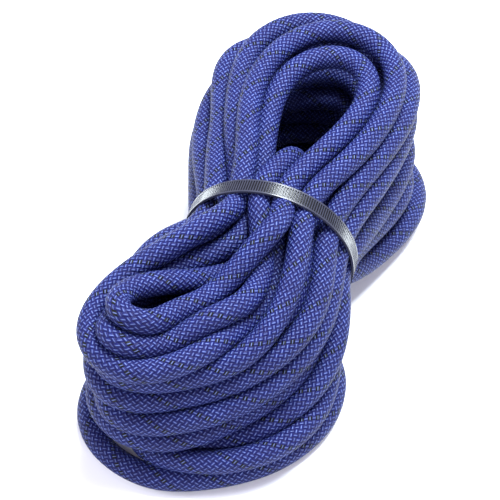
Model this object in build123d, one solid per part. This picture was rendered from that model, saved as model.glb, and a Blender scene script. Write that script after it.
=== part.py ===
from build123d import *
import math
import os

# A hank of dynamic climbing rope, tied round its middle by a self-locking cable tie.
# Frame: millimetres, +Z up, origin on the ground at the middle of the hank's box.
# +Y runs along the hank, from the near lobe to the far lobe.  +X is its right side.

# ---- rope -----------------------------------------------------------------------------
rope_dia = 10.0           # over the sheath
sheath_wall = 1.0         # braided sheath
core_gap = 0.06           # between neighbouring core strands, and to the sheath
inner_strands = 3         # laid round the rope's centre
outer_strands = 9         # laid round the inner ones
fused_tip_len = 2.5       # core and sheath melted together at each end
tip_round = 1.2
sleeve_wall = 0.5         # shrunk sleeve over each end
sleeve_len = 12.0
sleeve_gap = 0.02

# ---- hank -----------------------------------------------------------------------------
near_reach = 101.0        # from the tie to the near end
far_reach = 114.0         # from the tie to the far end
near_width = 98.0
far_width = 104.0
near_lean = -12.0         # how far each lobe's middle lies to the right of the waist
far_lean = 2.0
near_height = 74.0
far_height = 84.0
waist_dia = 71.4          # bundle of strands under the tie
waist_height = 42.0       # of the bundle's centre over the ground
near_eye = (12.0, 40.0)   # width and length of the opening in the near lobe
far_eye = (24.0, 56.0)    # and in the far lobe
eye_place = 0.48          # of each eye's middle, as a share of its lobe's reach
bed_gap = 0.2             # between a tail and the turns that it lies in
arc_share = 0.45          # of the shorter run at a tail's corner, taken by its arc

# ---- cable tie ------------------------------------------------------------------------
strap_width = 6.8
strap_thick = 1.0
strap_gap = 0.1           # between the strap and the bundle
tail_length = 12.0        # strap left standing out of the head
tooth_pitch = 1.1
tooth_depth = 0.35
mouth_share = 0.7         # of the pitch, that the gap between two teeth takes at its mouth
floor_share = 0.3         # and at its floor
rail_width = 0.7          # plain edge on each side of the teeth
head_len = 9.8
head_rise = 4.2           # over the strap in the slot
head_lead = 4.6           # from where the strap leaves the bundle to the head
cheek = 1.3               # side wall of the head
slot_gap = 0.15           # round the strap in the slot
head_gap = 0.5            # between the head and the turns beside it
head_round = 0.8
end_wall = 1.0            # wall at each end of the pawl's window
pawl_gap = 0.2            # beside the pawl
pawl_thick = 1.3
pawl_teeth = 3
hinge_rise = 2.6          # of the pawl's hinge, over the strap
mesh_gap = 0.08           # between the pawl's teeth and the strap's
trunnion_dia = 1.2
trunnion_len = 0.7
trunnion_gap = 0.04       # radial
tie_turn = 100.0          # degrees that put the head low on the hank's left side

left_side = near_lean - near_width / 2
right_side = far_lean + far_width / 2
waist_x = -(left_side + right_side) / 2
waist_y = (near_reach - far_reach) / 2
waist = Vector(waist_x, waist_y, waist_height)
strap_inner = waist_dia / 2 + strap_gap
strap_outer = strap_inner + strap_thick
head_width = strap_width + 2 * (slot_gap + cheek)


# ---- the two ends of the rope, outside the turns --------------------------------------
# Each list is measured from the middle of the waist.  It starts where the tail leaves the
# bundle and ends at the rope's cut end.
tail_a_from_waist = [      # over the top of the bundle, then down through the far eye
    (-5.0, 8.0, 31.0),
    (1.5, 30.5, 27.0),
    (1.0, 40.5, 4.0),
    (-2.0, 45.5, -23.5),
    (-6.0, 69.5, -35.6),
]
tail_b_from_waist = [      # under the bundle, then along the ground in the far eye
    (7.0, 8.5, -28.0),
    (10.5, 39.5, -34.4),
    (8.0, 70.5, -35.6),
]
tail_a_points = [tuple(waist + Vector(*at)) for at in tail_a_from_waist]
tail_b_points = [tuple(waist + Vector(*at)) for at in tail_b_from_waist]


def corner_radii(points):
    """As large an arc at each corner as its two runs allow."""
    radii = []
    for before, corner, after in zip(points, points[1:], points[2:]):
        run_in = Vector(*corner) - Vector(*before)
        run_out = Vector(*after) - Vector(*corner)
        half_turn = math.radians(run_in.get_angle(run_out) / 2)
        shorter = min(run_in.length, run_out.length)
        radii.append(arc_share * shorter / math.tan(half_turn))
    return radii


def route(points, cut_back=0.0):
    """Straight runs joined by tangent arcs, stopping cut_back short of the last point."""
    radii = corner_radii(points)
    last_run = Vector(*points[-1]) - Vector(*points[-2])
    stop = Vector(*points[-1]) - last_run.normalized() * cut_back
    return FilletPolyline(*points[:-1], stop, radius=radii)


def tube(path, outer_r, inner_r=0.0, offset=(0.0, 0.0)):
    """A round section swept along path, at offset from it."""
    start = Plane(path @ 0, z_dir=path % 0)
    section = start * Pos(*offset) * Circle(outer_r)
    if inner_r:
        section -= start * Pos(*offset) * Circle(inner_r)
    return sweep(section, path=path)


def end_plane(points):
    """A plane on the rope's cut end, facing out of it."""
    last_run = Vector(*points[-1]) - Vector(*points[-2])
    return Plane(Vector(*points[-1]), z_dir=last_run)


# ---- kernmantle tails: sheath, twelve core strands, fused tip, shrunk sleeve ----------
core_r = rope_dia / 2 - sheath_wall
packing_ratio = 4.15      # the core's radius over a strand's, for nine strands round three
strand_r = core_r / packing_ratio - core_gap / 2
inner_circle = (strand_r + core_gap / 2) * 2 / math.sqrt(3)
outer_circle = core_r - strand_r - core_gap


def strand_offsets():
    """Where each core strand's centre lies in the rope's section."""
    offsets = []
    for number in range(inner_strands):
        angle = 2 * math.pi * number / inner_strands
        offsets.append((inner_circle * math.cos(angle), inner_circle * math.sin(angle)))
    for number in range(outer_strands):
        angle = 2 * math.pi * (number + 0.5) / outer_strands
        offsets.append((outer_circle * math.cos(angle), outer_circle * math.sin(angle)))
    return offsets


def make_tail(name, points):
    """The nodes of one tail, and the room that it takes in the turns."""
    path = route(points, fused_tip_len)
    print(name, "length", round(route(points).length, 2), "radii",
          [round(radius, 1) for radius in corner_radii(points)])
    nodes = {f"{name}_sheath": tube(path, rope_dia / 2, core_r)}
    for number, offset in enumerate(strand_offsets(), 1):
        nodes[f"{name}_core_strand_{number:02d}"] = tube(path, strand_r, offset=offset)
    cut = end_plane(points)
    tip = cut * Pos(0, 0, -fused_tip_len / 2) * Cylinder(rope_dia / 2, fused_tip_len)
    rim = tip.edges().filter_by(GeomType.CIRCLE).sort_by_distance(Vector(*points[-1]))[0]
    nodes[f"{name}_fused_tip"] = fillet(rim, tip_round)
    sleeve_r = rope_dia / 2 + sleeve_gap
    sleeve_at = cut * Pos(0, 0, -fused_tip_len - sleeve_len / 2)
    nodes[f"{name}_end_sleeve"] = sleeve_at * (
        Cylinder(sleeve_r + sleeve_wall, sleeve_len) - Cylinder(sleeve_r, sleeve_len)
    )
    room = tube(route(points), rope_dia / 2 + bed_gap)
    sleeve_room = sleeve_at * Cylinder(sleeve_r + sleeve_wall + bed_gap, sleeve_len + 2 * bed_gap)
    return nodes, [room, sleeve_room]


# ---- turns of the hank: one plain solid with the outer shape of the coil --------------
stations = (0.08, 0.16, 0.24, 0.34, 0.45, 0.56, 0.68, 0.79, 0.88, 0.95, 1.0)   # along a lobe
widest = 0.56             # where a lobe is widest, as a share of its reach
end_width = 0.45          # of the lobe's end, as a share of its width
end_height = 0.60
ground_share = 0.05       # of a lobe's height, that the ground presses flat


def swell_at(station):
    """How far a lobe has swollen from the waist's size to its own, from 0 to 1."""
    return (1 - math.cos(math.pi * min(station / widest, 1))) / 2


def lobe_sections(reach, width, height, lean, direction):
    """Oval sections from the waist to the end of a lobe, which swells and then rounds off."""
    full_half_height = height * (1 + ground_share) / 2
    full_middle = height - full_half_height
    sections = []
    for station in stations:
        swell = swell_at(station)
        past = max(station - widest, 0) / (1 - widest)
        across = math.sqrt(1 - (1 - end_width**2) * past**2)
        up = math.sqrt(1 - (1 - end_height**2) * past**2)
        half_width = (waist_dia + (width - waist_dia) * swell) / 2 * across
        half_height = (waist_dia / 2 + (full_half_height - waist_dia / 2) * swell) * up
        middle = waist_height + (full_middle - waist_height) * swell
        centre = Vector(waist_x + lean * swell**2, waist_y + direction * reach * station, middle)
        at = Plane(centre, x_dir=(1, 0, 0), z_dir=(0, 1, 0))
        sections.append(at * Ellipse(half_width, half_height))
    return sections


def eye(size, reach, height, lean, direction):
    """An upright oval hole through a lobe."""
    across, along = size
    middle_x = waist_x + lean * swell_at(eye_place) ** 2
    at = Pos(middle_x, waist_y + direction * reach * eye_place, -height / 2)
    return at * extrude(Ellipse(across / 2, along / 2), 2 * height)


def make_turns(rooms):
    """The whole coil, with a neck for the tie, an eye in each lobe and room for the tails."""
    across = Plane(waist, x_dir=(1, 0, 0), z_dir=(0, 1, 0))
    neck = across * Circle(strap_outer)
    near = lobe_sections(near_reach, near_width, near_height, near_lean, -1)
    far = lobe_sections(far_reach, far_width, far_height, far_lean, 1)
    body = loft([*reversed(near), neck, *far], ruled=True)
    body &= Pos(0, 0, far_height) * Box(2 * far_width, 3 * far_reach, 2 * far_height)
    neck_width = head_width + 2 * head_gap
    body -= across * (Cylinder(far_width, neck_width) - Cylinder(waist_dia / 2, neck_width))
    body -= eye(near_eye, near_reach, near_height, near_lean, -1)
    body -= eye(far_eye, far_reach, far_height, far_lean, 1)
    for room in rooms:
        body -= room
    return body


# ---- cable tie ------------------------------------------------------------------------
# It is drawn round the Y axis, with the strap leaving the circle at the top and running
# straight along -X through the head, then turned by tie_turn and moved to the waist.
def place_tie(shape):
    return Pos(waist) * Rot(0, -tie_turn, 0) * shape


def across_tie(face, width):
    """A face drawn in the tie's plane, made width wide about its middle."""
    return extrude(face, width / 2, both=True)


tie_plane = Plane((0, 0, 0), x_dir=(1, 0, 0), z_dir=(0, -1, 0))
strap_end = head_lead + head_len + tail_length
slot_floor = strap_inner - slot_gap
root_x = math.sqrt(strap_outer**2 - slot_floor**2) + end_wall


def notch_prism():
    """The gap between two teeth, its mouth on the plane z = 0, cut down from above."""
    toothed_width = strap_width - 2 * rail_width
    mouth = mouth_share * tooth_pitch
    floor_width = floor_share * tooth_pitch
    outline = Polygon(
        (-mouth / 2, tooth_depth), (-mouth / 2, 0), (-floor_width / 2, -tooth_depth),
        (floor_width / 2, -tooth_depth), (mouth / 2, 0), (mouth / 2, tooth_depth), align=None,
    )
    return across_tie(tie_plane * outline, toothed_width)


def make_cable_tie():
    """Strap and head in one moulding, with teeth across the strap's outer face."""
    root_angle = math.degrees(math.asin(root_x / strap_outer))
    far = 2 * strap_outer
    opening = Polygon((0, 0), (0, far), (-far * math.tan(math.radians(root_angle)), far), align=None)
    ring = tie_plane * (Circle(strap_outer) - Circle(strap_inner) - opening)
    run_middle = Pos(-strap_end / 2, (strap_inner + strap_outer) / 2)
    run = tie_plane * run_middle * Rectangle(strap_end, strap_thick)
    strap = across_tie(ring, strap_width) + across_tie(run, strap_width)

    notch = notch_prism()
    notches = []
    for number in range(int((strap_end - tooth_pitch) / tooth_pitch)):
        notches.append(Pos(-(number + 0.5) * tooth_pitch, 0, strap_outer) * notch)
    step = math.degrees(tooth_pitch / strap_outer)
    for number in range(int((360 - root_angle) / step) - 2):
        notches.append(Rot(0, (number + 0.5) * step, 0) * Pos(0, 0, strap_outer) * notch)
    strap -= notches

    head_top = strap_outer + head_rise
    head_middle = -head_lead - head_len / 2
    block_height = head_top - strap_inner / 2
    head = Pos(head_middle, 0, head_top - block_height / 2) * Box(head_len, head_width, block_height)
    head = fillet(head.edges().filter_by(Axis.Z), head_round)
    head = fillet(head.faces().sort_by(Axis.Z)[-1].edges(), head_round / 2)
    head -= Rot(90, 0, 0) * Cylinder(strap_inner, 2 * head_width)
    slot_top = strap_outer + slot_gap
    slot = Box(2 * head_len, strap_width + 2 * slot_gap, slot_top - slot_floor)
    head -= Pos(head_middle, 0, (slot_top + slot_floor) / 2) * slot
    head -= window()
    head -= trunnion_pair(trunnion_dia / 2 + trunnion_gap, trunnion_gap)
    return strap + head


# ---- pawl: a toothed tongue on two trunnions, in a window over the slot ----------------
window_start = head_lead + end_wall
window_len = head_len - 2 * end_wall
pawl_width = strap_width - 2 * rail_width - 2 * pawl_gap
hinge_x = -window_start - pawl_gap - pawl_thick / 2
hinge_z = strap_outer + hinge_rise
pawl_foot = strap_outer + mesh_gap
pawl_swing = window_len - 2 * pawl_gap - pawl_thick / 2
pawl_reach = math.sqrt(pawl_swing**2 - (hinge_z - pawl_foot) ** 2)
tip_margin = 0.9          # of a tooth's pitch, from the last tooth's notch to the tip
last_notch = int((pawl_reach - hinge_x) / tooth_pitch - tip_margin)


def window():
    """The opening in the head's outer face, through to the slot."""
    height = 2 * head_rise
    at = Pos(-window_start - window_len / 2, 0, strap_outer + height / 2)
    return at * Box(window_len, pawl_width + 2 * pawl_gap, height)


def trunnion_pair(radius, end_gap):
    """A bar through the pawl and into both side walls."""
    length = pawl_width + 2 * (pawl_gap + trunnion_len + end_gap)
    return Pos(hinge_x, 0, hinge_z) * Rot(90, 0, 0) * Cylinder(radius, length)


def make_pawl():
    """Arm from the hinge down to the strap, with teeth in the strap's notches."""
    tip_x = -(last_notch + tip_margin) * tooth_pitch
    arm = Polygon(
        (hinge_x + pawl_thick / 2, hinge_z),
        (hinge_x - pawl_thick / 2, pawl_foot + pawl_thick / 2),
        (hinge_x - pawl_thick, pawl_foot),
        (tip_x, pawl_foot),
        (tip_x, pawl_foot + pawl_thick),
        (hinge_x - pawl_thick / 2, hinge_z + pawl_thick / 2),
        align=None,
    )
    outline = tie_plane * (arm + Pos(hinge_x, hinge_z) * Circle(pawl_thick / 2))
    pawl = across_tie(outline, pawl_width)
    for number in range(pawl_teeth):
        notch_x = -(last_notch - number + 0.5) * tooth_pitch
        half = floor_share * tooth_pitch / 2
        depth = tooth_depth - mesh_gap
        tooth = Polygon(
            (-2 * half + mesh_gap, mesh_gap), (-half + mesh_gap, -depth), (half - mesh_gap, -depth),
            (2 * half - mesh_gap, mesh_gap), align=None,
        )
        pawl += Pos(notch_x, 0, strap_outer) * across_tie(tie_plane * tooth, pawl_width - pawl_gap)
    pawl += trunnion_pair(trunnion_dia / 2, 0)
    return pawl


# ---- all the pieces -------------------------------------------------------------------
tail_a, rooms_a = make_tail("tail_a", tail_a_points)
tail_b, rooms_b = make_tail("tail_b", tail_b_points)
nodes = {"hank_turns": make_turns(rooms_a + rooms_b)}
nodes.update(tail_a)
nodes.update(tail_b)
nodes["cable_tie"] = place_tie(make_cable_tie())
nodes["tie_pawl"] = place_tie(make_pawl())

os.makedirs("parts", exist_ok=True)
for name, shape in nodes.items():
    export_step(shape, f"parts/{name}.step")

hinge = place_tie(Pos(hinge_x, 0, hinge_z) * Vertex(0, 0, 0))
print("pawl hinge", [round(value, 4) for value in hinge.center()])
whole = Compound(children=list(nodes.values())).bounding_box()
print("whole box", [round(value, 2) for value in (*whole.min, *whole.max)])
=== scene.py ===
import math

import bpy
import numpy as np
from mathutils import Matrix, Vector


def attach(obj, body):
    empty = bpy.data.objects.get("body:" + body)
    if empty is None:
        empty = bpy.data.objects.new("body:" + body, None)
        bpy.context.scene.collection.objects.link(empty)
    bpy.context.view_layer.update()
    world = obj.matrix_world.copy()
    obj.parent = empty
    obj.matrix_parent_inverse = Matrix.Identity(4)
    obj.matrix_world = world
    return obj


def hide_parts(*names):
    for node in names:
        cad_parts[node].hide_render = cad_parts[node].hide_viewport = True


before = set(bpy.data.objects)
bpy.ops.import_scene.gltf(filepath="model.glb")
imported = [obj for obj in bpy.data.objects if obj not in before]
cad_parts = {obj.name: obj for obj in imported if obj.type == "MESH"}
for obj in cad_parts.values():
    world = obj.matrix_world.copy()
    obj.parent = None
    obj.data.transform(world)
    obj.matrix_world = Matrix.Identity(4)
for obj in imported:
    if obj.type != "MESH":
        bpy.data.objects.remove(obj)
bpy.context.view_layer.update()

# ---- camera -------------------------------------------------------------------------------
# A long lens looks down on the hank from its near end, a little from the left, so that the
# near lobe comes towards the camera and the tie crosses the middle of the view.
waist = Vector((0.0035, -0.0065, 0.042))
view_turn, view_height = math.radians(16), math.radians(50)
camera_distance = 0.775
view_width = 0.208333                  # how much the picture spans at the waist
aim_across, aim_up = 0.04 * view_width, 0.006 * view_width

along = Vector((-math.sin(view_turn), math.cos(view_turn), 0))
look = along * math.cos(view_height) - Vector((0, 0, math.sin(view_height)))
rightwards = Vector((math.cos(view_turn), math.sin(view_turn), 0))
upwards = rightwards.cross(look)
camera_at = waist - rightwards * aim_across - upwards * aim_up - look * camera_distance

camera_data = bpy.data.cameras.new("camera")
camera_data.sensor_width = 36
camera_data.lens = camera_data.sensor_width * camera_distance / view_width
camera_data.clip_start = 0.05
camera = bpy.data.objects.new("camera", camera_data)
camera.location = camera_at
camera.rotation_euler = look.to_track_quat("-Z", "Y").to_euler()
bpy.context.scene.collection.objects.link(camera)
bpy.context.scene.camera = camera

# ---- the rope's line ----------------------------------------------------------------------
# One 10 mm kernmantle climbing rope, wound into a hank of twenty turns and cinched at the
# waist.  It starts at tail A, which passes over the top of the bundle and drops through the
# far eye, and ends at tail B on the ground under it.  Sizes here are millimetres.
rope_dia = 10.0
tail_a_from_waist = [                  # over the top of the bundle, then down through the far eye
    (-5.0, 8.0, 31.0),
    (1.5, 30.5, 27.0),
    (1.0, 40.5, 4.0),
    (-2.0, 45.5, -23.5),
    (-6.0, 69.5, -35.6),
]
tail_b_from_waist = [                  # under the bundle, then along the ground in the far eye
    (7.0, 8.5, -28.0),
    (10.5, 39.5, -34.4),
    (8.0, 70.5, -35.6),
]

# Where the strands pass under the tie: across and up from the bundle's middle.
waist_places = {
    "6i": (5.0, 29.5), "6o": (14.0, 28.0),
    "5i": (4.9, 20.5), "5m": (14.0, 19.0), "5o": (23.2, 19.5),
    "4i": (4.9, 10), "4m": (15.5, 10), "4o": (28.5, 11),
    "3i": (4.9, 0), "3b": (14.5, 0), "3c": (22.5, 0.5), "3o": (30.8, 0.5),
    "2i": (4.9, -10), "2m": (15.5, -10), "2o": (28.5, -10),
    "1i": (4.9, -20), "1m": (14, -20), "1o": (23.4, -20),
    "0i": (4.9, -29.5), "0o": (13.5, -28),
}
tail_a_place = (-4.5, 30.0)

# Half turns of the near lobe, top first: place on the right, the way round, place on the left.
# "D" stands for tail A's place, and "T" for tail B's.
near_loops = [
    ("D", [
        (7, -26, 19), (7, -42, 18), (-1, -62, 19), (-18, -76, 19), (-34, -84, 19), (-44, -80, 20),
        (-47, -66, 20), (-38, -47, 20), (-20, -28, 18),
    ], "5i"),
    ("6i", [
        (9, -11, 30), (1, -23, 28), (-6, -42, 24), (-13, -58, 23), (-22, -70, 24), (-34, -77, 25),
        (-42, -74, 26), (-42, -62, 25), (-30, -45, 21), (-13, -27, 15),
    ], "4i"),
    ("5i", [
        (11, -26, 13), (9, -46, 14), (-1, -66, 16), (-17, -79, 17), (-34, -88, 18), (-45, -85, 19),
        (-49, -72, 20), (-46, -54, 20), (-36, -36, 20), (-22, -17, 24),
    ], "6o"),
    ("6o", [
        (18, -22, 22), (17, -42, 15), (6, -64, 10), (-12, -78, 8), (-34, -86, 8), (-46, -84, 8),
        (-49, -70, 9), (-43, -46, 12), (-30, -22, 17),
    ], "5m"),
    ("5m", [
        (19, -26, 14), (14, -50, 8), (0, -66, 5), (-18, -75, 4), (-34, -76, 4), (-40, -64, 5),
        (-36, -44, 9), (-30, -20, 15),
    ], "5o"),
    ("5o", [
        (27, -20, 13), (25, -45, 7), (9, -68, 2), (-8, -80, 0), (-22, -86, -1), (-36, -91, -1),
        (-46, -86, -1), (-49, -68, 2), (-42, -34, 8),
    ], "4o"),
    ("4o", [
        (31, -24, 5), (28, -48, 1), (12, -68, -4), (-4, -83, -8), (-20, -90, -9), (-35, -93, -9),
        (-46, -84, -9), (-48, -62, -6), (-40, -28, 2),
    ], "4m"),
    ("4m", [
        (20, -26, 4), (17, -50, -1), (2, -66, -5), (-16, -75, -7), (-32, -76, -7), (-38, -62, -6),
        (-32, -32, 1),
    ], "3i"),
    ("4i", [
        (8, -28, 2), (5, -46, -3), (-7, -60, -5), (-21, -62, -5), (-29, -50, -4), (-24, -26, -1),
    ], "3b"),
    ("3i", [
        (8, -28, -10), (5, -48, -14), (-8, -62, -16), (-22, -64, -16), (-30, -52, -15), (-26, -28, -8),
    ], "3c"),
    ("3b", [
        (19, -28, -6), (16, -52, -12), (-2, -70, -15), (-20, -78, -16), (-36, -76, -15), (-39, -58, -13),
        (-34, -28, -6),
    ], "3o"),
    ("3c", [
        (28, -24, -6), (26, -50, -11), (10, -72, -15), (-8, -88, -18), (-22, -93, -18), (-36, -94, -18),
        (-46, -84, -17), (-46, -60, -14), (-39, -26, -8),
    ], "2o"),
    ("3o", [
        (34, -22, -8), (36, -42, -16), (27, -64, -22), (10, -80, -24), (-8, -87, -25), (-26, -87, -25),
        (-38, -78, -25), (-41, -60, -22), (-34, -30, -15),
    ], "2m"),
    ("2o", [
        (33, -24, -17), (37, -46, -25), (31, -68, -28), (15, -84, -28), (-4, -92, -28), (-22, -91, -27),
        (-35, -82, -27), (-39, -62, -25), (-32, -32, -16),
    ], "2i"),
    ("2m", [
        (20, -28, -20), (18, -50, -25), (4, -66, -27), (-14, -72, -27), (-30, -68, -26), (-34, -50, -25),
        (-22, -26, -20),
    ], "1i"),
    ("2i", [
        (9, -28, -20), (8, -46, -25), (-3, -57, -27), (-18, -58, -27), (-26, -46, -26), (-22, -28, -23),
    ], "1m"),
    ("1i", [
        (9, -26, -32), (8, -46, -37), (-5, -58, -37), (-20, -58, -37), (-28, -46, -36),
    ], "1o"),
    ("1m", [
        (20, -26, -32), (21, -48, -37), (8, -64, -37), (-12, -72, -37), (-30, -68, -37), (-35, -50, -36),
        (-24, -24, -32),
    ], "0o"),
    ("1o", [
        (29, -24, -32), (32, -46, -36), (24, -66, -37), (6, -80, -37), (-12, -84, -37), (-30, -76, -37),
        (-36, -58, -37), (-24, -28, -36),
    ], "0i"),
    ("0o", [
        (30, -22, -37), (35, -46, -37), (31, -68, -37), (14, -86, -37), (-10, -96, -37), (-37, -96, -37),
        (-55, -82, -37), (-60, -63, -36), (-47, -37, -33), (-20, -14, -30),
    ], "T"),
]

# Half turns of the far lobe, each from the left place of one near half turn to the right
# place of the next.
far_loops = [
    [
        (-13, 30, 26), (-15, 50, 28), (-12, 68, 30), (-4, 80, 31), (6, 86, 32), (15, 84, 32),
        (22, 75, 32), (24, 62, 32), (21, 46, 32), (13, 27, 31),
    ],
    [
        (-16, 30, 14), (-22, 60, 13), (-16, 84, 12), (0, 95, 12), (14, 91, 12), (22, 72, 12),
        (14, 36, 16),
    ],
    [
        (-15, 20, 30), (-22, 45, 30), (-23, 66, 32), (-17, 86, 32), (-5, 98, 32), (7, 102, 32),
        (21, 98, 31), (31, 87, 30), (34, 71, 30), (33, 55, 30), (26, 30, 29),
    ],
    [
        (-24, 30, 24), (-29, 54, 25), (-33, 72, 25), (-32, 88, 25), (-25, 101, 25), (-14, 110, 24),
        (0, 112, 22), (13, 108, 19), (24, 99, 18), (31, 86, 17), (32, 64, 18), (24, 32, 18),
    ],
    [
        (-31, 30, 18), (-38, 62, 16), (-43, 78, 16), (-42, 90, 16), (-34, 99, 15), (-16, 107, 13),
        (0, 112, 13), (14, 112, 14), (25, 106, 16), (34, 95, 18), (38, 82, 19), (37, 64, 19),
        (30, 30, 20),
    ],
    [
        (-39, 32, 8), (-45, 60, 7), (-45, 76, 7), (-37, 91, 6), (-20, 101, 4), (0, 106, 4),
        (20, 106, 5), (33, 97, 7), (39, 82, 8), (40, 66, 9), (36, 32, 12),
    ],
    [
        (-26, 34, 6), (-33, 62, 4), (-33, 82, 4), (-22, 95, 3), (0, 100, 3), (18, 97, 4),
        (29, 82, 5), (28, 56, 6), (20, 28, 8),
    ],
    [
        (-16, 34, 0), (-23, 60, -2), (-20, 82, -3), (-4, 92, -4), (12, 89, -3), (19, 66, -1),
        (12, 34, 4),
    ],
    [
        (-24, 34, -7), (-30, 60, -10), (-26, 82, -12), (-8, 92, -13), (10, 89, -13), (17, 66, -12),
        (10, 34, -8),
    ],
    [
        (-30, 34, -3), (-38, 62, -6), (-34, 86, -7), (-16, 97, -8), (8, 100, -8), (24, 92, -8),
        (29, 68, -7), (20, 30, -4),
    ],
    [
        (-40, 32, -4), (-47, 58, -6), (-45, 76, -7), (-32, 94, -6), (-10, 104, -6), (14, 107, -5),
        (32, 98, -4), (38, 78, -4), (34, 44, -2),
    ],
    [
        (-38, 32, -14), (-45, 56, -18), (-42, 78, -19), (-27, 95, -18), (-4, 103, -17), (18, 102, -16),
        (34, 92, -14), (41, 74, -14), (38, 44, -10),
    ],
    [
        (-24, 34, -20), (-34, 58, -24), (-32, 80, -25), (-14, 94, -24), (12, 97, -24), (32, 90, -23),
        (42, 72, -22), (38, 42, -18),
    ],
    [
        (-14, 34, -20), (-26, 58, -22), (-24, 78, -22), (-6, 90, -22), (14, 88, -22), (26, 70, -21),
        (22, 34, -17),
    ],
    [
        (-12, 34, -28), (-27, 58, -31), (-27, 82, -32), (-9, 95, -32), (12, 90, -32), (20, 66, -30),
        (14, 32, -24),
    ],
    [
        (-24, 34, -30), (-33, 56, -34), (-32, 80, -35), (-14, 95, -34), (10, 97, -34), (28, 84, -33),
        (28, 56, -32), (14, 28, -30),
    ],
    [
        (-34, 32, -30), (-41, 54, -33), (-40, 78, -34), (-24, 96, -34), (0, 104, -34), (22, 102, -33),
        (38, 86, -31), (40, 62, -30), (28, 32, -28),
    ],
    [
        (-19, 32, -34), (-32, 54, -37), (-37, 80, -37), (-20, 101, -37), (6, 104, -37), (28, 98, -37),
        (43, 83, -34), (48, 66, -32), (44, 48, -32), (34, 28, -30),
    ],
    [
        (-10, 34, -36), (-25, 56, -37), (-28, 82, -37), (-12, 96, -37), (10, 95, -37), (28, 80, -37),
        (31, 54, -37), (22, 28, -34),
    ],
]


def guide_line():
    """The line that the hands lay the rope along, from tail A's place to tail B's."""
    points = [(tail_a_place[0], 0, tail_a_place[1])]
    for number, (_, near_way, left) in enumerate(near_loops):
        points += near_way
        if number == len(far_loops):
            break
        across, up = waist_places[left]
        points.append((-across, 0, up))
        points += far_loops[number]
        across, up = waist_places[near_loops[number + 1][0]]
        points.append((across, 0, up))
    across, up = waist_places["0i"]
    points.append((across, 0, up))
    return np.array(points, float)


def through(points, steps=12):
    """A smooth line through points that are unevenly spaced."""
    ends = np.vstack([2 * points[0] - points[1], points, 2 * points[-1] - points[-2]])
    line = []
    for a, b, c, d in zip(ends, ends[1:], ends[2:], ends[3:]):
        tb = np.linalg.norm(b - a) ** 0.5
        tc = tb + np.linalg.norm(c - b) ** 0.5
        td = tc + np.linalg.norm(d - c) ** 0.5
        t = np.linspace(tb, tc, steps, endpoint=False)[:, None]
        ab, bc = a + (b - a) * t / tb, b + (c - b) * (t - tb) / (tc - tb)
        cd = c + (d - c) * (t - tc) / (td - tc)
        ac = ab + (bc - ab) * t / tc
        bd = bc + (cd - bc) * (t - tb) / (td - tb)
        line.append(ac + (bd - ac) * (t - tb) / (tc - tb))
    return np.vstack(line + [points[-1:]])


def evenly(line, pitch):
    """Points on a line at equal distances, as near to pitch as its length allows."""
    run = np.r_[0, np.cumsum(np.linalg.norm(np.diff(line, axis=0), axis=1))]
    at = np.linspace(0, run[-1], round(run[-1] / pitch) + 1)
    return np.stack([np.interp(at, run, line[:, axis]) for axis in range(3)], 1)


def settle(guide, held, solid, pitch, steps=320):
    """Lets the turns push each other aside until they lie side by side.

    Each step pushes strands apart where they overlap, pulls them back to the guide less and
    less, stiffens their bends, keeps their length, and keeps them inside the tie and over
    the ground.  held marks points that stay; solid is a list of points to keep clear of.
    """
    touch = 0.965 * rope_dia           # the sheath gives a little where strands press
    reach = rope_dia + 6               # pairs are listed this far apart, every few steps
    neighbours = 3.2 * rope_dia        # along the rope, closer than this isn't a pair
    push_share = 1.25                  # how much of an overlap one step takes out
    pull_home, pull_until = 0.04, 0.9  # back to the guide, and for what share of the steps
    stiff, stiff_late, late = 0.022, 0.007, 0.92
    stretch_share = 0.3                # how much of a stretch one step takes out
    tie_radius, tie_half = 35.8, 6.5   # the tie's inner face, and past both its edges
    relist = 8                         # steps between two listings of the pairs
    off_the_rope = -1e6                # a solid's place along the rope
    ground = -waist.z * 1000
    place = guide.copy()
    count = len(place)
    number = np.arange(count)
    first = np.r_[number, number[:-1]]
    second = np.r_[number, number[1:]]
    where = np.r_[number, number[:-1] + 0.5, np.full(len(solid), off_the_rope)]
    free = ~held
    for step in range(steps):
        share = step / steps
        middles = np.vstack([(place[first] + place[second]) / 2, solid])
        if step % relist == 0:
            pairs = close_pairs(middles, where, reach, neighbours / pitch)
        gap = middles[pairs[0]] - middles[pairs[1]]
        far = np.linalg.norm(gap, axis=1) + 1e-9
        pressed = far < touch
        push = gap[pressed] / far[pressed, None] * ((touch - far[pressed]) / 2)[:, None]
        move = np.zeros((count, 3))
        hits = np.zeros(count)
        for side, sign in ((0, 1), (1, -1)):
            at = pairs[side][pressed]
            rope = at < len(first)
            for ends in (first, second):
                onto = ends[at[rope]]
                for axis in range(3):
                    move[:, axis] += np.bincount(onto, push[rope, axis] * sign, count)
                hits += np.bincount(onto, minlength=count)
        move *= push_share / np.maximum(hits, 1)[:, None]
        if share < pull_until:
            move += pull_home * (1 - share) * (guide - place)
        curl = np.zeros_like(place)
        curl[2:-2] = (
            place[:-4] - 4 * place[1:-3] + 6 * place[2:-2] - 4 * place[3:-1] + place[4:]
        )
        move -= (stiff if share < late else stiff_late) * curl
        place[free] += move[free]
        for start in (0, 1):
            a = np.arange(start, count - 1, 2)
            b = a + 1
            step_to = place[b] - place[a]
            apart = np.linalg.norm(step_to, axis=1) + 1e-9
            change = step_to / apart[:, None] * ((apart - pitch) * stretch_share)[:, None]
            place[a] += change * free[a, None]
            place[b] -= change * free[b, None]
        under_tie = (np.abs(place[:, 1]) < tie_half) & free
        radius = np.hypot(place[under_tie, 0], place[under_tie, 2])
        shrink = np.minimum(1, (tie_radius - rope_dia / 2) / np.maximum(radius, 1e-6))
        place[under_tie, 0] *= shrink
        place[under_tie, 2] *= shrink
        place[free, 2] = np.maximum(place[free, 2], ground + rope_dia / 2)
    return place


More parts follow.
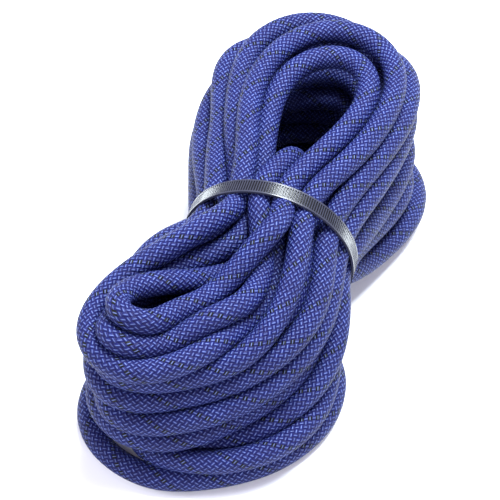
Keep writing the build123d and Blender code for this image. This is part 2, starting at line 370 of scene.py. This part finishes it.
def close_pairs(points, where, reach, apart):
    """Pairs of points within reach of each other that are apart along the rope."""
    small = points.astype(np.float32)
    square = (small**2).sum(1)
    firsts, seconds = [], []
    rows = 600                         # worked on together, to save memory
    for start in range(0, len(small), rows):
        block = small[start : start + rows]
        away = square[start : start + rows, None] + square[None, :] - 2 * block @ small.T
        a, b = np.nonzero(away < reach**2)
        a = a + start
        keep = (b > a) & (np.abs(where[a] - where[b]) > apart)
        firsts.append(a[keep])
        seconds.append(b[keep])
    return np.concatenate(firsts), np.concatenate(seconds)


turn_pitch = 7.5                       # between the points that are settled
ring_pitch = 0.0026                    # in metres, between the rings of the drawn tube
waist_mm = np.array(waist) * 1000
tail_a = np.array(tail_a_from_waist)[::-1]
tail_b = np.array(tail_b_from_waist)
wound = evenly(through(guide_line()), turn_pitch)
guide = np.vstack([tail_a, wound[1:-1], tail_b])
held = np.ones(len(guide), bool)
held[len(tail_a) : -len(tail_b)] = False
tails = np.vstack([evenly(tail_a, rope_dia / 2), evenly(tail_b, rope_dia / 2)])
# Inside the tie's head, on the left: the turns keep clear of it.
tie_head = np.array([(-33.6, 0, -13.2), (-34.2, 0, -17.8), (-34.6, 0, -22.3)])
control = settle(guide, held, np.vstack([tails, tie_head]), turn_pitch) + waist_mm

spline_data = bpy.data.curves.new("rope line", "CURVE")
spline_data.dimensions = "3D"
spline = spline_data.splines.new("NURBS")
spline.points.add(len(control) - 1)
for point, at in zip(spline.points, control / 1000):
    point.co = (*at, 1)
spline.order_u = 3
spline.use_endpoint_u = True
spline.resolution_u = 4
spline_object = bpy.data.objects.new("rope line", spline_data)
bpy.context.scene.collection.objects.link(spline_object)
line_mesh = bpy.data.meshes.new_from_object(spline_object)
rope_line = evenly(np.array([vertex.co for vertex in line_mesh.vertices]), ring_pitch)
bpy.data.objects.remove(spline_object)
bpy.data.meshes.remove(line_mesh)

# ---- the rope's sheath --------------------------------------------------------------------
# A braided sheath of dyed nylon over the core, drawn as one tube along the line.  Its two
# ends are closed by the fused tips.  Each ring is turned as little as the line allows, so
# the braid's columns run along the rope as they do on a real one.
sides = 20


def turned_least(line):
    """For each point, two directions across the line that don't spin about it."""
    ahead = np.gradient(line, axis=0)
    ahead /= np.linalg.norm(ahead, axis=1)[:, None]
    one = np.cross(ahead[0], (0, 0, 1))
    one /= np.linalg.norm(one)
    ones = []
    for direction in ahead:
        one = one - direction * one.dot(direction)
        one /= np.linalg.norm(one)
        ones.append(one)
    ones = np.array(ones)
    return ones, np.cross(ahead, ones)


one, two = turned_least(rope_line)
turn = np.linspace(0, 2 * math.pi, sides, endpoint=False)
ring = np.cos(turn)[None, :, None] * one[:, None] + np.sin(turn)[None, :, None] * two[:, None]
skin = rope_line[:, None] + ring * rope_dia / 2000
rings = len(rope_line)
run = np.r_[0, np.cumsum(np.linalg.norm(np.diff(rope_line, axis=0), axis=1))]
corner = np.arange(rings * sides).reshape(rings, sides)
after = np.roll(corner, -1, axis=1)
faces = np.stack([corner[:-1], after[:-1], after[1:], corner[1:]], -1).reshape(-1, 4)
caps = [corner[0][::-1].tolist(), corner[-1].tolist()]

rope_mesh = bpy.data.meshes.new("rope")
rope_mesh.from_pydata(skin.reshape(-1, 3).tolist(), [], faces.tolist() + caps)
rope_mesh.shade_smooth()
rope = bpy.data.objects.new("rope", rope_mesh)
bpy.context.scene.collection.objects.link(rope)

# Two maps: "braid" counts turns round the rope and metres along it; the other lays the tube
# out in strips side by side, each as long as all the strips are wide.
side = np.tile(np.arange(sides), rings - 1)
row = np.repeat(np.arange(rings - 1), sides)
corner_side = np.stack([side, side + 1, side + 1, side], 1) / sides
corner_row = np.stack([row, row, row + 1, row + 1], 1)
strips = round(math.sqrt(run[-1] / (math.pi * rope_dia / 1000)))
per_strip = math.ceil((rings - 1) / strips)
strip = np.repeat(row // per_strip, 4).reshape(-1, 4)
side_margin, end_margin = 0.04, 0.002
strip_u = (strip + side_margin + (1 - 2 * side_margin) * corner_side) / strips
strip_v = end_margin + (1 - 2 * end_margin) * (corner_row - strip * per_strip) / per_strip
cap_uv = np.zeros((2 * sides, 2))
for layer_name, u, v in (
    ("braid", corner_side, run[corner_row]),
    ("OFBake", strip_u, strip_v),
):
    layer = rope_mesh.uv_layers.new(name=layer_name)
    uv = np.vstack([np.stack([u.ravel(), v.ravel()], 1), cap_uv])
    layer.data.foreach_set("uv", uv.ravel())
rope_mesh.uv_layers["braid"].active_render = True


def linear(colour):
    """An sRGB hex colour as the linear values that shaders take."""
    values = [int(colour[at : at + 2], 16) / 255 for at in (1, 3, 5)]
    return [v / 12.92 if v <= 0.04045 else ((v + 0.055) / 1.055) ** 2.4 for v in values] + [1]


def add(material, kind, settings=None, **links):
    """Adds a node.  settings are its own values; links are values or sockets for its inputs."""
    node = material.node_tree.nodes.new(kind)
    for name, value in (settings or {}).items():
        setattr(node, name, value)
    for name, value in links.items():
        key = int(name[1:]) if name[1:].isdigit() else name.replace("_", " ")
        if isinstance(value, bpy.types.NodeSocket):
            material.node_tree.links.new(value, node.inputs[key])
        else:
            node.inputs[key].default_value = value
    return node


def new_material(name):
    """An empty material with a surface shader, and that shader."""
    material = bpy.data.materials.new(name)
    material.use_nodes = True
    material.node_tree.nodes.clear()
    shader = add(material, "ShaderNodeBsdfPrincipled")
    output = material.node_tree.nodes.new("ShaderNodeOutputMaterial")
    material.node_tree.links.new(shader.outputs[0], output.inputs[0])
    return material, shader


# Braided nylon: twenty-eight plaits, fourteen each way, over one and under one, so each shows as
# a row of lozenges.  A lozenge is crowned where its plait rides over the other; a painted
# highlight, a short pale streak across it, stands for the shine of its filaments.  Two plaits
# of one family are black: they make the tracer, a line of dark lozenges that winds round the rope.
plaits = 14                            # each way round
lay_length = 0.038                     # along the rope for one turn of a plait
bundles = 3                            # of filaments, side by side in a plait
bundle_relief = 0.05                   # as a share of a lozenge's height
flat_crown, round_crown = 4.0, 2.0     # across a plait, and along it
# How narrow the painted highlight across each lozenge is.
painted_highlight_sharpness = 26
drifts_per_metre = 28.0                # of the dye, one every 36 mm
# Painted shade darkens each lozenge towards its edges, where the plaits dip under each other.
painted_shade_slope = 5.0                       # what is lower than a fifth of a lozenge's crown is dark
braid, braid_shader = new_material("braided nylon sheath")


def calculate(operation, *values):
    """One arithmetic node of the braid."""
    links = {f"_{at}": value for at, value in enumerate(values)}
    return add(braid, "ShaderNodeMath", {"operation": operation}, **links).outputs[0]


def blend_colours(factor, at_none, at_full):
    """A colour between two others."""
    mix = add(braid, "ShaderNodeMix", {"data_type": "RGBA"}, Factor=factor, A=at_none, B=at_full)
    return mix.outputs["Result"]


braid_map = add(braid, "ShaderNodeUVMap", {"uv_map": "braid"})
place_on = add(braid, "ShaderNodeSeparateXYZ", Vector=braid_map.outputs[0])
across_rope = calculate("MULTIPLY", place_on.outputs[0], plaits)
along_rope = calculate("MULTIPLY", place_on.outputs[1], plaits / lay_length)
leaning_right = calculate("ADD", across_rope, along_rope)
leaning_left = calculate("SUBTRACT", across_rope, along_rope)
right_number = calculate("FLOOR", leaning_right)
left_number = calculate("FLOOR", leaning_left)
right_part = calculate("FRACT", leaning_right)
left_part = calculate("FRACT", leaning_left)
left_on_top = calculate("FLOORED_MODULO", calculate("ADD", right_number, left_number), 2)


def either(when_left, when_right):
    """The first value where a left-leaning plait is on top, else the second."""
    return add(
        braid, "ShaderNodeMix", {"data_type": "FLOAT"},
        Factor=left_on_top, A=when_right, B=when_left,
    ).outputs[0]


def crown(part, power):
    """1 in the middle of a lozenge and 0 at its edges."""
    from_middle = calculate("ABSOLUTE", calculate("MULTIPLY_ADD", part, 2, -1))
    return calculate("SUBTRACT", 1, calculate("POWER", from_middle, power))


plait_across = either(left_part, right_part)
plait_along = either(right_part, left_part)
across_crown = crown(plait_across, flat_crown)
along_crown = crown(plait_along, round_crown)
lozenge = calculate("MULTIPLY", across_crown, along_crown)
filaments = calculate("SINE", calculate("MULTIPLY", plait_across, 2 * bundles * math.pi))
braid_height = calculate("MULTIPLY_ADD", filaments, bundle_relief, lozenge)

# Dye differs a little from plait to plait, and along the rope.  Left plaits are counted from
# the far side, so that two plaits of one number don't share a shade where they meet.
plait_number = calculate(
    "FLOORED_MODULO", either(calculate("ADD", left_number, plaits / 2), right_number), plaits
)
plait_place = add(
    braid, "ShaderNodeCombineXYZ",
    X=plait_number, Y=calculate("FLOOR", calculate("MULTIPLY", along_rope, 0.5)),
)
plait_shade = add(
    braid, "ShaderNodeTexWhiteNoise", {"noise_dimensions": "2D"}, Vector=plait_place.outputs[0]
)
long_shade = add(
    braid, "ShaderNodeTexNoise",
    Vector=add(braid, "ShaderNodeTexCoord").outputs["Object"],
    Scale=drifts_per_metre, Detail=2.0,
)
dye_share = calculate(
    "MULTIPLY_ADD", plait_shade.outputs[0], 0.5, calculate("MULTIPLY", long_shade.outputs[0], 0.5)
)
dye = blend_colours(dye_share, linear("#0d0b40"), linear("#10195a"))
tracer = calculate(
    "MULTIPLY",
    calculate("LESS_THAN", calculate("FLOORED_MODULO", left_number, plaits / 2), 0.5),
    left_on_top,
)
dyed = blend_colours(tracer, dye, linear("#020204"))
# Painted highlight: a pale streak across each lozenge's crown for the shine of its filaments, stronger
# on some plaits.
painted_highlight_mask = calculate("MULTIPLY", calculate("POWER", along_crown, painted_highlight_sharpness), across_crown)
dullest_painted_highlight, painted_highlight_range = 0.5, 0.45
painted_highlight_share = calculate(
    "MULTIPLY", painted_highlight_mask,
    calculate("MULTIPLY_ADD", plait_shade.outputs[0], painted_highlight_range, dullest_painted_highlight),
)
with_painted_highlight = blend_colours(painted_highlight_share, dyed, linear("#6676ac"))
# Painted shade: the low edges of each lozenge turn near black, the crowns keep the dyed colour.
clear_of_painted_shade = calculate("MINIMUM", calculate("MULTIPLY", lozenge, painted_shade_slope), 1)
sheath_colour = blend_colours(clear_of_painted_shade, linear("#03011c"), with_painted_highlight)
sheath_bump = add(braid, "ShaderNodeBump", Strength=0.9, Distance=0.0003, Height=braid_height)
braid.node_tree.links.new(sheath_colour, braid_shader.inputs["Base Color"])
braid.node_tree.links.new(sheath_bump.outputs[0], braid_shader.inputs["Normal"])
braid_shader.inputs["Roughness"].default_value = 0.55
braid_shader.inputs["IOR"].default_value = 1.53
braid_shader.inputs["Specular IOR Level"].default_value = 0.14
rope_mesh.materials.append(braid)

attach(rope, "hank")
core_strands = [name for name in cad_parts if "core_strand" in name]
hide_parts("hank_turns", "tail_a_sheath", "tail_b_sheath", *core_strands)

# ---- the rope's fused tips ----------------------------------------------------------------
# Core and sheath melted together by a hot knife at each cut end: hard, dark and glossy, with
# ripples where the nylon ran.
ripples_per_metre = 900.0              # one every 1.1 mm
melted, melted_shader = new_material("nylon melted by a hot knife")
ripples = add(
    melted, "ShaderNodeTexNoise",
    Vector=add(melted, "ShaderNodeTexCoord").outputs["Object"],
    Scale=ripples_per_metre, Detail=4.0,
)
melted_colour = add(
    melted, "ShaderNodeMix", {"data_type": "RGBA"},
    Factor=ripples.outputs[0], A=linear("#06071c"), B=linear("#1b2258"),
)
melted_bump = add(melted, "ShaderNodeBump", Strength=0.8, Distance=0.0003, Height=ripples.outputs[0])
melted.node_tree.links.new(melted_colour.outputs["Result"], melted_shader.inputs["Base Color"])
melted.node_tree.links.new(melted_bump.outputs[0], melted_shader.inputs["Normal"])
melted_shader.inputs["Roughness"].default_value = 0.22
melted_shader.inputs["IOR"].default_value = 1.53
for name in ("tail_a_fused_tip", "tail_b_fused_tip"):
    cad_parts[name].data.materials.clear()
    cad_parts[name].data.materials.append(melted)

# ---- the rope's end sleeves ---------------------------------------------------------------
# A short tube of black polyolefin over each end, shrunk on with hot air so that the sheath
# can't slip back.  It is matt, with fine wrinkles where it drew in.
wrinkles_per_metre = 1600.0            # one every 0.6 mm
shrunk, shrunk_shader = new_material("shrunk polyolefin sleeve")
wrinkles = add(
    shrunk, "ShaderNodeTexNoise",
    Vector=add(shrunk, "ShaderNodeTexCoord").outputs["Object"],
    Scale=wrinkles_per_metre, Detail=3.0,
)
shrunk_colour = add(
    shrunk, "ShaderNodeMix", {"data_type": "RGBA"},
    Factor=wrinkles.outputs[0], A=linear("#15151a"), B=linear("#2a2b33"),
)
shrunk_bump = add(shrunk, "ShaderNodeBump", Strength=0.5, Distance=0.0002, Height=wrinkles.outputs[0])
shrunk.node_tree.links.new(shrunk_colour.outputs["Result"], shrunk_shader.inputs["Base Color"])
shrunk.node_tree.links.new(shrunk_bump.outputs[0], shrunk_shader.inputs["Normal"])
shrunk_shader.inputs["Roughness"].default_value = 0.55
for name in ("tail_a_end_sleeve", "tail_b_end_sleeve"):
    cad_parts[name].data.materials.clear()
    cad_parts[name].data.materials.append(shrunk)

# ---- the cable tie and its pawl -----------------------------------------------------------
# One self-locking tie of grey nylon, moulded, with teeth across its outer face between two
# plain rails.  Moulded nylon is smooth and a little cloudy; painted shade darkens the grooves between
# its teeth.
clouds_per_metre = 220.0               # one every 4.5 mm
grains_per_metre = 2500.0              # one every 0.4 mm
strap_outer, tooth_depth = 0.0368, 0.00035
# Painted shade in the grooves: full near a groove's floor, none near the strap's face.
full_painted_shade, no_painted_shade = strap_outer - 0.9 * tooth_depth, strap_outer - 0.15 * tooth_depth
teeth_half = 0.0027                    # from the strap's middle to its rails
tie_nylon, tie_shader = new_material("moulded grey nylon")
tie_place = add(tie_nylon, "ShaderNodeTexCoord").outputs["Object"]
clouds = add(tie_nylon, "ShaderNodeTexNoise", Vector=tie_place, Scale=clouds_per_metre, Detail=3.0)
grain = add(tie_nylon, "ShaderNodeTexNoise", Vector=tie_place, Scale=grains_per_metre, Detail=2.0)
tie_colour = add(
    tie_nylon, "ShaderNodeMix", {"data_type": "RGBA"},
    Factor=clouds.outputs[0], A=linear("#24252f"), B=linear("#393a4a"),
)
place_in_tie = add(tie_nylon, "ShaderNodeSeparateXYZ", Vector=tie_place)
from_middle = add(
    tie_nylon, "ShaderNodeMath", {"operation": "SUBTRACT"},
    _0=place_in_tie.outputs[1], _1=waist.y,
)
from_middle = add(tie_nylon, "ShaderNodeMath", {"operation": "ABSOLUTE"}, _0=from_middle.outputs[0])
sideways = add(
    tie_nylon, "ShaderNodeMath", {"operation": "SUBTRACT"},
    _0=place_in_tie.outputs[0], _1=waist.x,
)
upward = add(
    tie_nylon, "ShaderNodeMath", {"operation": "SUBTRACT"},
    _0=place_in_tie.outputs[2], _1=waist.z,
)
from_axis = add(
    tie_nylon, "ShaderNodeVectorMath", {"operation": "LENGTH"},
    _0=add(
        tie_nylon, "ShaderNodeCombineXYZ", X=sideways.outputs[0], Y=upward.outputs[0],
    ).outputs[0],
)
# Painted shade darkens the grooves between the teeth, on the strap's face between its rails.
in_groove = add(
    tie_nylon, "ShaderNodeMapRange",
    Value=from_axis.outputs["Value"],
    From_Min=full_painted_shade, From_Max=no_painted_shade, To_Min=1.0, To_Max=0.0,
)
between_rails = add(
    tie_nylon, "ShaderNodeMath", {"operation": "LESS_THAN"},
    _0=from_middle.outputs[0], _1=teeth_half,
)
painted_groove_shade = add(
    tie_nylon, "ShaderNodeMath", {"operation": "MULTIPLY"},
    _0=in_groove.outputs[0], _1=between_rails.outputs[0],
)
groove_shaded_colour = add(
    tie_nylon, "ShaderNodeMix", {"data_type": "RGBA"},
    Factor=painted_groove_shade.outputs[0], A=tie_colour.outputs["Result"], B=linear("#08090c"),
)
tie_bump = add(tie_nylon, "ShaderNodeBump", Strength=0.4, Distance=0.00005, Height=grain.outputs[0])
tie_nylon.node_tree.links.new(groove_shaded_colour.outputs["Result"], tie_shader.inputs["Base Color"])
tie_nylon.node_tree.links.new(tie_bump.outputs[0], tie_shader.inputs["Normal"])
tie_shader.inputs["Roughness"].default_value = 0.24
tie_shader.inputs["IOR"].default_value = 1.53
for name in ("cable_tie", "tie_pawl"):
    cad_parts[name].data.materials.clear()
    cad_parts[name].data.materials.append(tie_nylon)

# ---- the floor and the lights -------------------------------------------------------------
# A plain matt white floor.  One large soft light hangs overhead, two weaker ones light the
# left and the near side, and a pale room lights the rest.
bpy.ops.object.select_all(action="DESELECT")
bpy.ops.mesh.primitive_plane_add(size=6)
floor = bpy.context.object
floor.name = "floor"
pale, pale_shader = new_material("matt white paper")
pale_shader.inputs["Base Color"].default_value = linear("#fbfbfc")
pale_shader.inputs["Roughness"].default_value = 0.9
floor.data.materials.append(pale)


def soft_light(name, at, size, power, colour):
    """A square lamp that faces the waist."""
    data = bpy.data.lights.new(name, "AREA")
    data.size = size
    data.energy = power
    data.color = linear(colour)[:3]
    lamp = bpy.data.objects.new(name, data)
    lamp.location = at
    lamp.rotation_euler = (waist - Vector(at)).to_track_quat("-Z", "Y").to_euler()
    bpy.context.scene.collection.objects.link(lamp)


soft_light("overhead light", (0.12, 0.35, 0.9), 0.5, 32, "#f2fcff")
soft_light("left light", (-0.8, -0.35, 0.6), 0.4, 7, "#f4f6ff")
soft_light("near light", (0.45, -0.9, 0.6), 0.4, 7, "#f4f6ff")
world = bpy.data.worlds.new("room")
world.use_nodes = True
world.node_tree.nodes["Background"].inputs["Color"].default_value = linear("#f0e8ff")
world.node_tree.nodes["Background"].inputs["Strength"].default_value = 0.5
bpy.context.scene.world = world
bpy.context.scene.view_settings.view_transform = "Standard"
